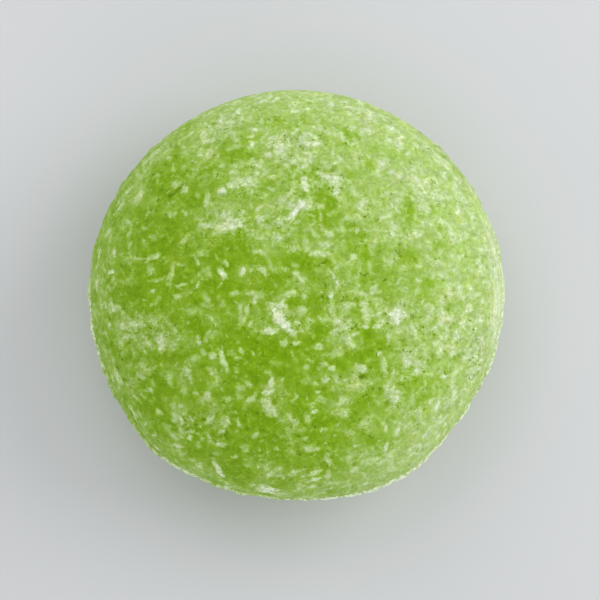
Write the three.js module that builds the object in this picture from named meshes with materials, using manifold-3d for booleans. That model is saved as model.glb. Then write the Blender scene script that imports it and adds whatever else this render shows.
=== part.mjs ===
// A pressed soap puck, in millimetres, +Z up.
// It is a biconvex tablet of green soap with white grains lying flush in its skin.
// The origin is on the surface that the puck rests on, below the middle of the puck.

import * as THREE from 'three';
import { mergeVertices } from 'three/addons/utils/BufferGeometryUtils.js';
import Module from 'manifold-3d';

const wasm = await Module();
wasm.setup();

// Driving dimensions.
const WIDTH = 65;             // across the seam ring
const HEIGHT = 27;            // from the resting face to the crown
const SEAM_HEIGHT = 12;       // from the resting face to the middle of the seam ring
const SEAM_PROUD = 0.5;       // how far the seam ring stands out from the caps
const SEAM_TIP = 0.5;         // thickness of the seam ring at its edge
const SEAM_ROOT = 1.6;        // thickness of the seam ring where it joins the caps
const FOOT_WIDTH = 36;        // across the flat face that the puck rests on
const CAP_POWER = 2.2;        // 2 makes each cap elliptical, more makes a squarer shoulder
const GRAIN_PROUD = 0.12;     // how far a grain stands out of the skin
const GRAIN_DEPTH = 0.9;      // thickness of a grain, through the skin
const POCKET_GAP = 0.3;       // clearance all round a grain in its pocket

// Fineness of the faceted surfaces, and how near two corners must be to count as one.
const TURN_STEPS = 72;
const CAP_STEPS = 10;
const GRAIN_CAP_STEPS = 2;
const GRAIN_SIDES = 8;
const WELD = 1e-5;

// Places where the hand-pressed rim swells or falls short: middle and spread in degrees, size in mm.
const RIM_LOBES = [
  { middle: -32, spread: 13, size: -0.25 },
  { middle: -60, spread: 14, size: 0.5 },
  { middle: -98, spread: 16, size: -0.4 },
  { middle: -131, spread: 10, size: 0.4 },
  { middle: -165, spread: 14, size: -0.15 },
];
const LOBE_FADE = 3;

// The largest grains of the upper cap, seen in plan: x, y, heading in degrees, length and width.
const CROWN_GRAINS = [
  [-2.5, -4.9, -50, 5.2, 1.5], [-4.1, -6.7, 5, 2.6, 1.1], [15.0, -4.3, 20, 2.6, 2.0],
  [10.2, -3.6, -84, 3.8, 1.1], [5.3, -3.4, -76, 2.8, 1.0], [7.6, -8.0, -65, 2.3, 1.2],
  [6.4, -6.3, 40, 2.6, 0.9], [19.0, -8.8, -20, 1.8, 1.1], [17.6, -6.6, -65, 2.2, 0.9],
  [22.3, -4.3, -5, 2.6, 1.2], [24.6, -7.1, 10, 1.6, 1.1], [13.1, -11.7, -72, 2.6, 0.9],
  [9.1, -14.9, 12, 4.2, 1.0], [23.9, -15.7, -62, 3.2, 1.2], [7.0, -18.7, 5, 2.6, 1.3],
  [1.7, -19.6, -80, 1.9, 1.1], [13.7, -27.5, 25, 2.2, 1.3], [0.8, -29.7, -50, 2.2, 1.1],
  [-4.3, -30.6, -4, 3.4, 1.4], [-4.1, -17.9, -72, 2.9, 1.7], [-4.2, -15.6, 35, 2.0, 1.0],
  [-6.7, -16.7, 15, 1.4, 0.9], [-10.9, -10.8, -74, 3.2, 0.9], [-12.4, -10.3, 10, 1.4, 1.0],
  [-20.2, -8.4, -86, 2.5, 1.3], [-23.0, -7.7, -30, 2.0, 0.9], [-19.0, -13.6, -84, 2.6, 1.1],
  [-13.3, -7.5, 58, 2.4, 0.8], [-8.0, -5.0, 62, 2.4, 1.0], [-11.6, -27.7, -80, 2.4, 0.9],
  [-7.8, -24.0, -55, 1.9, 0.9], [-18.7, 2.1, 76, 3.2, 0.9], [-21.4, 4.7, 15, 1.9, 1.2],
  [-10.9, 1.9, -62, 2.0, 1.2], [-5.0, 2.4, -40, 1.9, 1.0], [-0.9, -1.1, 28, 2.0, 1.2],
  [-9.7, 9.3, 8, 4.4, 1.6], [0.2, 11.7, 56, 4.4, 1.2], [1.4, 15.2, -62, 2.0, 1.1],
  [5.2, 16.4, -18, 3.4, 1.4], [4.0, 19.5, -70, 2.1, 1.0], [9.4, 10.9, 38, 3.0, 1.1],
  [12.0, 12.6, -10, 1.8, 1.0], [3.3, 4.9, -4, 3.2, 1.0], [15.8, 7.6, -66, 2.3, 0.9],
  [18.2, 14.8, -58, 4.6, 1.1], [23.5, 8.4, -68, 3.0, 1.2], [21.2, 2.2, -12, 3.2, 0.9],
  [9.6, 27.7, 8, 4.4, 1.0], [-11.8, 25.2, 14, 3.6, 1.1], [-15.1, 17.8, 80, 2.4, 1.0],
];

// The grains of the lower cap: each is a golden angle on from the last, and the radii and lengths repeat.
const UNDER_GRAIN_COUNT = 8;
const UNDER_GRAIN_WIDTH = 1.1;
const UNDER_GRAIN_RADII = [21, 23.4, 25.7, 28];
const UNDER_GRAIN_LENGTHS = [2.6, 1.8, 3.2];
const GOLDEN_ANGLE = 137.5;

const capRadius = WIDTH / 2 - SEAM_PROUD;
const footRadius = FOOT_WIDTH / 2;
const crownRise = HEIGHT - SEAM_HEIGHT - SEAM_ROOT / 2;
const lowerDrop = SEAM_HEIGHT - SEAM_ROOT / 2;
const footSpan = (1 - (footRadius / capRadius) ** CAP_POWER) ** (1 / CAP_POWER);
const lowerDepth = lowerDrop / footSpan;

const soapMaterial = new THREE.MeshStandardMaterial({ color: 0x86b034, roughness: 0.55, metalness: 0 });
const grainMaterial = new THREE.MeshStandardMaterial({ color: 0xe4ecd0, roughness: 0.75, metalness: 0 });

const { degToRad, euclideanModulo, radToDeg } = THREE.MathUtils;

// How far the skin stands out from a true round at an angle in radians.
// The rim's lobes fade out towards the middle of the puck.
function lobeAt(radius, angle) {
  let sum = 0;
  for (const { middle, spread, size } of RIM_LOBES) {
    const offset = euclideanModulo(radToDeg(angle) - middle + 180, 360) - 180;
    sum += size * Math.exp(-((offset / spread) ** 2));
  }
  return sum * (radius / capRadius) ** LOBE_FADE;
}

// One point of a cap's outline, from its pole (part 0) to the seam (part 1).
function capPoint(part, rise) {
  const turn = part * Math.PI / 2;
  const radius = capRadius * Math.sin(turn) ** (2 / CAP_POWER);
  const height = rise * Math.max(Math.cos(turn), 0) ** (2 / CAP_POWER);
  return new THREE.Vector2(radius, height);
}

// The body's outline from the middle of the resting face, round the seam ring, to the crown.
function bodyOutline() {
  const points = [new THREE.Vector2(0, 0), new THREE.Vector2(footRadius, 0)];
  const footPart = Math.asin((footRadius / capRadius) ** (CAP_POWER / 2)) / (Math.PI / 2);
  for (let i = 1; i <= CAP_STEPS; i += 1) {
    const spot = capPoint(THREE.MathUtils.lerp(footPart, 1, i / CAP_STEPS), lowerDepth);
    points.push(new THREE.Vector2(spot.x, lowerDrop - spot.y));
  }
  points.push(new THREE.Vector2(WIDTH / 2, SEAM_HEIGHT - SEAM_TIP / 2));
  points.push(new THREE.Vector2(WIDTH / 2, SEAM_HEIGHT + SEAM_TIP / 2));
  for (let i = CAP_STEPS; i >= 1; i -= 1) {
    const spot = capPoint(i / CAP_STEPS, crownRise);
    points.push(new THREE.Vector2(spot.x, HEIGHT - crownRise + spot.y));
  }
  points.push(new THREE.Vector2(0, HEIGHT));
  return points;
}

// Turns the outline into a closed tablet and pushes its rim out of round.
function tabletGeometry() {
  const geometry = new THREE.LatheGeometry(bodyOutline(), TURN_STEPS);
  geometry.rotateX(Math.PI / 2);
  const position = geometry.attributes.position;
  for (let i = 0; i < position.count; i += 1) {
    const x = position.getX(i);
    const y = position.getY(i);
    const radius = Math.hypot(x, y);
    const scale = radius > 0 ? 1 + lobeAt(radius, Math.atan2(y, x)) / radius : 1;
    position.setXY(i, x * scale, y * scale);
  }
  return geometry;
}

// The skin's height and slope at a radius, on the upper cap (side 1) or the lower one (side -1).
function skinAt(radius, side) {
  const rise = side > 0 ? crownRise : lowerDepth;
  const root = side > 0 ? HEIGHT - crownRise : lowerDrop;
  const ratio = radius / capRadius;
  const level = (1 - ratio ** CAP_POWER) ** (1 / CAP_POWER);
  const slope = -(rise / capRadius) * (ratio / level) ** (CAP_POWER - 1);
  return { height: root + side * rise * level, slope };
}

// The pose of a grain that lies in the skin at a place seen in plan.
function grainPose([x, y, heading], side) {
  const angle = Math.atan2(y, x);
  const planRadius = Math.hypot(x, y);
  const radius = planRadius - lobeAt(planRadius, angle);
  const { height, slope } = skinAt(radius, side);
  const out = new THREE.Vector3(-slope * Math.cos(angle), -slope * Math.sin(angle), side).normalize();
  const turn = degToRad(heading);
  const along = new THREE.Vector3(Math.cos(turn), Math.sin(turn), 0);
  along.addScaledVector(out, -along.dot(out)).normalize();
  const across = new THREE.Vector3().crossVectors(along, out);
  const pose = new THREE.Matrix4().makeBasis(across, along, out);
  const sink = GRAIN_DEPTH / 2 - GRAIN_PROUD;
  pose.setPosition(new THREE.Vector3(x, y, height).addScaledVector(out, -sink));
  return pose;
}

// A rod with round ends along Y, flattened to the grain's depth. Its pocket is the same rod, swollen.
function rodGeometry(length, width, swell) {
  const rod = new THREE.CapsuleGeometry(width / 2, length - width, GRAIN_CAP_STEPS, GRAIN_SIDES);
  rod.scale(1 + 2 * swell / width, 1 + 2 * swell / length, (GRAIN_DEPTH + 2 * swell) / width);
  return rod;
}

function toSolid(geometry) {
  const bare = geometry.clone();
  bare.deleteAttribute('normal');
  bare.deleteAttribute('uv');
  const merged = mergeVertices(bare, WELD);
  const mesh = new wasm.Mesh({
    numProp: 3,
    vertProperties: new Float32Array(merged.attributes.position.array),
    triVerts: new Uint32Array(merged.index.array),
  });
  return new wasm.Manifold(mesh);
}

function toGeometry(solid) {
  const mesh = solid.getMesh();
  const geometry = new THREE.BufferGeometry();
  geometry.setAttribute('position', new THREE.BufferAttribute(mesh.vertProperties, 3));
  geometry.setIndex(new THREE.BufferAttribute(mesh.triVerts, 1));
  geometry.computeVertexNormals();
  return geometry;
}

function namedMesh(name, geometry, material) {
  const mesh = new THREE.Mesh(geometry, material);
  mesh.name = name;
  return mesh;
}

// Grains of the lower cap, between the resting face and the seam.
function underGrains() {
  const grains = [];
  for (let i = 0; i < UNDER_GRAIN_COUNT; i += 1) {
    const angle = degToRad(i * GOLDEN_ANGLE);
    const radius = UNDER_GRAIN_RADII[i % UNDER_GRAIN_RADII.length];
    const length = UNDER_GRAIN_LENGTHS[i % UNDER_GRAIN_LENGTHS.length];
    const heading = i * GOLDEN_ANGLE / 2;
    grains.push([radius * Math.cos(angle), radius * Math.sin(angle), heading, length, UNDER_GRAIN_WIDTH]);
  }
  return grains;
}

const puck = new THREE.Group();
let body = toSolid(tabletGeometry());

// Cuts a pocket for each grain in the list and lays the grain in it.
function setGrains(list, side, stem) {
  list.forEach((grain, i) => {
    const [, , , length, width] = grain;
    const pose = grainPose(grain, side);
    const pocket = rodGeometry(length, width, POCKET_GAP).applyMatrix4(pose);
    body = body.subtract(toSolid(pocket));
    const name = `${stem}_grain_${String(i + 1).padStart(2, '0')}`;
    const mesh = namedMesh(name, mergeVertices(rodGeometry(length, width, 0)), grainMaterial);
    mesh.position.setFromMatrixPosition(pose);
    mesh.quaternion.setFromRotationMatrix(pose);
    puck.add(mesh);
  });
}

setGrains(CROWN_GRAINS, 1, 'crown');
setGrains(underGrains(), -1, 'under');
puck.add(namedMesh('soap_body', toGeometry(body), soapMaterial));

export default puck;
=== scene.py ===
# Looks of the soap puck: a dense green body with a crumbly seam, white grains lying in its skin,
# and a plain pale studio. Shapes are worked out in millimetres and scaled to metres at the end.
import math
import random

import bpy
import numpy as np
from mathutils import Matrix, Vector, noise


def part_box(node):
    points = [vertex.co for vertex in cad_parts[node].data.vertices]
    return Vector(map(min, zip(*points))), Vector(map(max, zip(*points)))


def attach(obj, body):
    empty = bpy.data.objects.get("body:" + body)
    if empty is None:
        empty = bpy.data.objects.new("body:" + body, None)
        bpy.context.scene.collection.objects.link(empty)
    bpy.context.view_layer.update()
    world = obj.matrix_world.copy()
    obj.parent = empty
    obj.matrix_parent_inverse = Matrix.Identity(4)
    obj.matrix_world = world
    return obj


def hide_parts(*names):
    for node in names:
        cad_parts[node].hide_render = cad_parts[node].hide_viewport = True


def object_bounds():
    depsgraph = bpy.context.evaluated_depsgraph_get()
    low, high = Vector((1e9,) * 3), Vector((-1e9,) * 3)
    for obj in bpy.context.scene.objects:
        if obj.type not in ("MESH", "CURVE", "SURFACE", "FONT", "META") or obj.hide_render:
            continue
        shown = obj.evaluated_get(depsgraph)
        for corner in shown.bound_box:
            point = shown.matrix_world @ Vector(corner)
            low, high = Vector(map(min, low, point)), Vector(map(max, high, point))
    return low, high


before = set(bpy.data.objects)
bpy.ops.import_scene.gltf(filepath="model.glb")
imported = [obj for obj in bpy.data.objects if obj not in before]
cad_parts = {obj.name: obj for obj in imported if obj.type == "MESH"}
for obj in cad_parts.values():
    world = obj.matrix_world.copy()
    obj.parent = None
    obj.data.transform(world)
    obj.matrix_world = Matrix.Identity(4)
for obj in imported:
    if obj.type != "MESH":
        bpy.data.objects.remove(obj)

CAD_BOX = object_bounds()
MM = 0.001

# ---------------- driving dimensions, in millimetres
WIDTH = 65.0
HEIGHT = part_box("soap_body")[1][2] / MM
SEAM_HEIGHT = 12.0
SEAM_PROUD = 0.5
SEAM_ROOT = 1.6
FOOT_RADIUS = 18.0
CAP_POWER = 2.2
CAP_RADIUS = WIDTH / 2 - SEAM_PROUD
CROWN_ROOT = SEAM_HEIGHT + SEAM_ROOT / 2
LOWER_ROOT = SEAM_HEIGHT - SEAM_ROOT / 2
CROWN_RISE = HEIGHT - CROWN_ROOT
LOWER_DEPTH = LOWER_ROOT / (1 - (FOOT_RADIUS / CAP_RADIUS) ** CAP_POWER) ** (1 / CAP_POWER)

# Where the rim swells or falls short: middle and spread in degrees, size.
RIM_LOBES = [(-32, 13, -0.25), (-60, 14, 0.5), (-98, 16, -0.4), (-131, 10, 0.4), (-165, 14, -0.15)]
LOBE_FADE = 3
# Where the seam ring stands out less or more than usual: middle and spread in degrees, share.
SEAM_LOBES = [(-28, 6, -0.7), (-46, 7, -0.5), (-135, 22, 0.3), (5, 20, 0.3), (60, 40, -0.45), (110, 40, -0.5),
              (-95, 14, -0.3)]
# Where the seam ring is whiter than usual: middle and spread in degrees, whiteness.
RING_WHITE = [(5, 34, 0.4), (-62, 46, 0.68), (190, 16, 0.6), (-125, 18, 0.35)]
RING_WHITENESS = 0.3
RING_SKIRT = 2.9  # how far above the seam the white crumbs reach
# Where the skin is hazier towards the rim, partly frost and partly painted sheen on the side the lights fall
# on: middle and spread in degrees, whiteness.
HAZE_AND_SHEEN = [(2, 42, 0.56), (50, 32, 0.47), (94, 32, 0.26), (-45, 22, 0.12), (-160, 60, -0.06)]
HAZE_AND_SHEEN_FADE = 1.3
# The rim's own paleness, partly frost and partly painted sheen, strongest towards the lights:
RIM_HAZE_AND_SHEEN = [(30, 75, 0.36), (-45, 35, 0.22), (200, 180, 0.18)]  # the same, over the last part only
CREASE_DEPTH = 0.16  # the crease above and below the seam ring
CREASE_WIDTH = 0.35
CREASE_OFFSET = 1.05  # from the middle of the seam ring
CREASE_SHARE = 0.55  # how much of it there is, before noise breaks it up

SEAM_REACH = SEAM_ROOT * 0.33  # how far the ring reaches above and below its middle
SEAM_POWER = 2.5  # how squarely it ends there
SEAM_LIMITS = (0.12, 1.4)  # its least and most height, over SEAM_PROUD
SEAM_STRETCH = (1, 1, 0.3)  # stretches its slow swellings upwards
RELIEF_INSET = 0.12  # how far under the plain form the real skin lies
FOOT_FADE = 0.8  # the relief fades below this height

# Noises of the form and of the whiteness: height, size of the bumps, seed.
RELIEF = [(0.10, 9.0, 1), (0.05, 2.6, 2), (0.025, 1.0, 3)]
SEAM_SWELL = (0.50, 3.5, 4)
SEAM_CRUMBS = (0.40, 1.2, 5)
FROST_NOISE = (0.10, 7.0, 6)
FROST_PATCHES = (0.9, 1.8, 7)
CREASE_NOISE = (0.9, 4.0, 8)
SKIRT_NOISE = (0.9, 1.4, 9)
HAZE_AND_SHEEN_PATCHES = [(0.7, 2.6, 10), (0.7, 1.3, 11)]
NOISE_APART = (17.3, 5.1, 11.7)  # how far one seed's noise lies from the next

BODY_STEPS = 128  # faces along one edge of the cube that is rounded into the body
MERIDIAN_STEPS = 400  # points along each cap's outline
SEAM_CROWDING = 0.175  # how much the body's faces crowd towards the seam
CROWDING_POWER = 5
WELD_DIGITS = 6  # points that agree to this many digits are one
SLOPE_STEP = 0.02  # for the slope of the form, and the height up to which the skin is the foot
SLIDE_STEP = 0.01  # for its slope along one direction
SLIDE_ROUNDS = 8
LEAST_SLOPE = 1e-3


# ---------------- the puck's form
def lobes(angle, table):
    """Sum of the bumps of a table at angles in radians."""
    total = np.zeros_like(angle)
    for middle, spread, size in table:
        offset = (np.degrees(angle) - middle + 180) % 360 - 180
        total += size * np.exp(-(offset / spread) ** 2)
    return total


def form_level(points):
    """0 on the puck's plain skin, more outside it and less inside it."""
    x, y, z = points.T
    radius = np.hypot(x, y)
    radius = radius - lobes(np.arctan2(y, x), RIM_LOBES) * (radius / CAP_RADIUS) ** LOBE_FADE
    above = np.clip(z - CROWN_ROOT, 0, None) / CROWN_RISE
    below = np.clip(LOWER_ROOT - z, 0, None) / LOWER_DEPTH
    return (np.clip(radius, 0, None) / CAP_RADIUS) ** CAP_POWER + above ** CAP_POWER + below ** CAP_POWER - 1


def form_normals(points):
    """Unit vectors straight out of the plain skin."""
    slopes = []
    for axis in np.eye(3) * SLOPE_STEP:
        slopes.append(form_level(points + axis) - form_level(points - axis))
    normals = np.stack(slopes, -1)
    normals[points[:, 2] < SLOPE_STEP] = (0, 0, -1)
    return normals / np.linalg.norm(normals, axis=1, keepdims=True)


def drop_to_form(points, directions):
    """Slides points along their directions until they lie on the plain skin."""
    slid = points.copy()
    for _ in range(SLIDE_ROUNDS):
        level = form_level(slid)
        slope = (form_level(slid + directions * SLIDE_STEP) - level) / SLIDE_STEP
        slope = np.where(np.abs(slope) < LEAST_SLOPE, LEAST_SLOPE, slope)
        slid -= directions * np.clip(level / slope, -1, 1)[:, None]
    return slid


def crown_point(x, y):
    """The point of the upper cap above a place in plan."""
    start = np.array([[x, y, CROWN_ROOT]])
    angle = np.arctan2(start[:, 1], start[:, 0])
    radius = np.hypot(x, y)
    radius -= lobes(angle, RIM_LOBES)[0] * (radius / CAP_RADIUS) ** LOBE_FADE
    level = max(1 - (radius / CAP_RADIUS) ** CAP_POWER, 0)
    return np.array([x, y, CROWN_ROOT + CROWN_RISE * level ** (1 / CAP_POWER)])


def noise_at(points, size, seed):
    """Smooth noise from -1 to 1 whose bumps are about size across."""
    shift = Vector([seed * apart for apart in NOISE_APART])
    scaled = points / size
    return np.array([noise.noise(Vector(p) + shift) for p in scaled])


def bumps(points, *kinds, middle=0):
    """Noises added to a middle value. A kind is a height, a size and a seed."""
    return sum((height * noise_at(points, size, seed) for height, size, seed in kinds), middle)


def spot(points, centre, radius):
    """1 at a centre, falling softly to 0 past a radius."""
    distance = np.linalg.norm(points - centre, axis=1)
    return np.exp(-(distance / radius) ** 2)


# Pits in the crown, darkened with painted shade: x, y, radius, depth. A crack is a row of them.
PITS = [
    (9.8, -13.5, 0.45, 0.30), (17.4, -4.4, 0.35, 0.2), (-27.4, -12, 0.5, 0.25), (7.2, 23.4, 0.3, 0.2),
    (17.3, 19.3, 0.3, 0.15), (20.7, 20.4, 0.3, 0.15), (15.3, 5.2, 0.3, 0.2), (5.4, 17.7, 0.3, 0.2),
    (-7.7, 16.4, 0.3, 0.2), (-6, 16.4, 0.25, 0.15), (-19.3, 22.2, 0.3, 0.2), (-11.5, 5.5, 0.25, 0.15),
    (-10.5, -21.7, 0.3, 0.2), (-12.9, -25.2, 0.3, 0.2), (-7.3, -21.1, 0.25, 0.2), (20.5, -10.2, 0.3, 0.2),
    (24.6, -10.1, 0.3, 0.15), (13.7, -17.1, 0.3, 0.2), (8.8, -26.5, 0.3, 0.2), (17.2, -26.8, 0.3, 0.2),
]
CRACKS = [((-19.1, 14.1), (-16.9, 15.7), 0.22, 0.25), ((-25.4, -18.6), (-24.6, -20.4), 0.3, 0.2)]
CRACK_STEPS = 9


def pit_list():
    """Centres on the skin, radii and depths of every pit, those of the cracks included."""
    pits = [(crown_point(x, y), radius, depth) for x, y, radius, depth in PITS]
    for start, end, radius, depth in CRACKS:
        for share in np.linspace(0, 1, CRACK_STEPS):
            x, y = np.array(start) * (1 - share) + np.array(end) * share
            pits.append((crown_point(x, y), radius, depth))
    return pits


PIT_PLACES = pit_list()


def pit_depth(points):
    """How deep each point lies in a pit."""
    depth = np.zeros(len(points))
    for centre, radius, deepest in PIT_PLACES:
        depth = np.maximum(depth, deepest * spot(points, centre, radius))
    return depth


def relief(points):
    """How far the real skin stands out of the plain form."""
    height = bumps(points, *RELIEF)
    height -= pit_depth(points) + CREASE_DEPTH * crease_share(points) + RELIEF_INSET
    fade = np.clip(points[:, 2] / FOOT_FADE, 0, 1)
    return height * fade


def seam_share(points):
    """1 on the middle of the seam ring and 0 away from it."""
    return np.exp(-(np.abs(points[:, 2] - SEAM_HEIGHT) / SEAM_REACH) ** SEAM_POWER)


def crease_share(points):
    """1 along the crease on each side of the seam ring and 0 away from it, broken up by noise."""
    off = (np.abs(points[:, 2] - SEAM_HEIGHT) - CREASE_OFFSET) / CREASE_WIDTH
    return np.exp(-off ** 2) * np.clip(bumps(points, CREASE_NOISE, middle=CREASE_SHARE), 0, 1)


def seam_height(points):
    """How far the crumbly seam ring stands out of the form."""
    angle = np.arctan2(points[:, 1], points[:, 0])
    proud = 1 + lobes(angle, SEAM_LOBES)
    proud += bumps(points * SEAM_STRETCH, SEAM_SWELL) + bumps(points, SEAM_CRUMBS)
    return SEAM_PROUD * np.clip(proud, *SEAM_LIMITS) * seam_share(points)


# ---------------- the body
def meridian():
    """Points (radius, height) from the crown to the seam, and from the seam to the middle of the foot."""
    turn = np.linspace(0, math.pi / 2, MERIDIAN_STEPS)
    radius = CAP_RADIUS * np.sin(turn) ** (2 / CAP_POWER)
    level = np.clip(np.cos(turn), 0, None) ** (2 / CAP_POWER)
    upper = np.stack([radius, CROWN_ROOT + CROWN_RISE * level], -1)
    upper = np.vstack([upper, [CAP_RADIUS, SEAM_HEIGHT]])
    lower = np.stack([radius, LOWER_ROOT - LOWER_DEPTH * level], -1)
    lower = lower[radius > FOOT_RADIUS][::-1]
    lower = np.vstack([[CAP_RADIUS, SEAM_HEIGHT], lower, [FOOT_RADIUS, 0], [0, 0]])
    return upper, lower


def along(line, share):
    """Points at shares 0 to 1 of a line's length."""
    lengths = np.concatenate([[0], np.cumsum(np.linalg.norm(np.diff(line, axis=0), axis=1))])
    wanted = share * lengths[-1]
    return np.stack([np.interp(wanted, lengths, line[:, k]) for k in (0, 1)], -1)


def cube_ball():
    """Unit vectors over a cube rounded into a ball, and the ball's four-sided faces."""
    grid = np.tan(np.linspace(-1, 1, BODY_STEPS + 1) * math.pi / 4)
    a, b = np.meshgrid(grid, grid, indexing="ij")
    one = np.ones_like(a)
    sides = [(a, b, one), (b, a, -one), (one, a, b), (-one, b, a), (b, one, a), (a, -one, b)]
    points = np.concatenate([np.stack(side, -1).reshape(-1, 3) for side in sides])
    points /= np.linalg.norm(points, axis=1, keepdims=True)
    corner = np.arange((BODY_STEPS + 1) ** 2).reshape(BODY_STEPS + 1, BODY_STEPS + 1)
    patch = np.stack([corner[:-1, :-1], corner[1:, :-1], corner[1:, 1:], corner[:-1, 1:]], -1).reshape(-1, 4)
    faces = np.concatenate([patch + k * corner.size for k in range(len(sides))])
    rounded = np.round(points, WELD_DIGITS)
    _, first, merged = np.unique(rounded, axis=0, return_index=True, return_inverse=True)
    return points[first], merged.reshape(-1)[faces]


def body_shape():
    """The body's points and faces: the plain form, its seam ring and its relief."""
    ball, faces = cube_ball()
    polar = np.arccos(np.clip(ball[:, 2], -1, 1)) / (math.pi / 2)
    angle = np.arctan2(ball[:, 1], ball[:, 0])
    upper, lower = meridian()
    share = np.where(polar <= 1, polar, 2 - polar)
    share = (1 + SEAM_CROWDING) * share - SEAM_CROWDING * share ** CROWDING_POWER
    spots = np.where((polar <= 1)[:, None], along(upper, share), along(lower, 1 - share))
    radius = spots[:, 0]
    radius = radius + lobes(angle, RIM_LOBES) * (radius / CAP_RADIUS) ** LOBE_FADE
    plain = np.stack([radius * np.cos(angle), radius * np.sin(angle), spots[:, 1]], -1)
    normals = form_normals(plain)
    outward = np.stack([np.cos(angle), np.sin(angle), np.zeros_like(angle)], -1)
    points = plain + normals * relief(plain)[:, None] + outward * seam_height(plain)[:, None]
    return plain, points, faces


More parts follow.
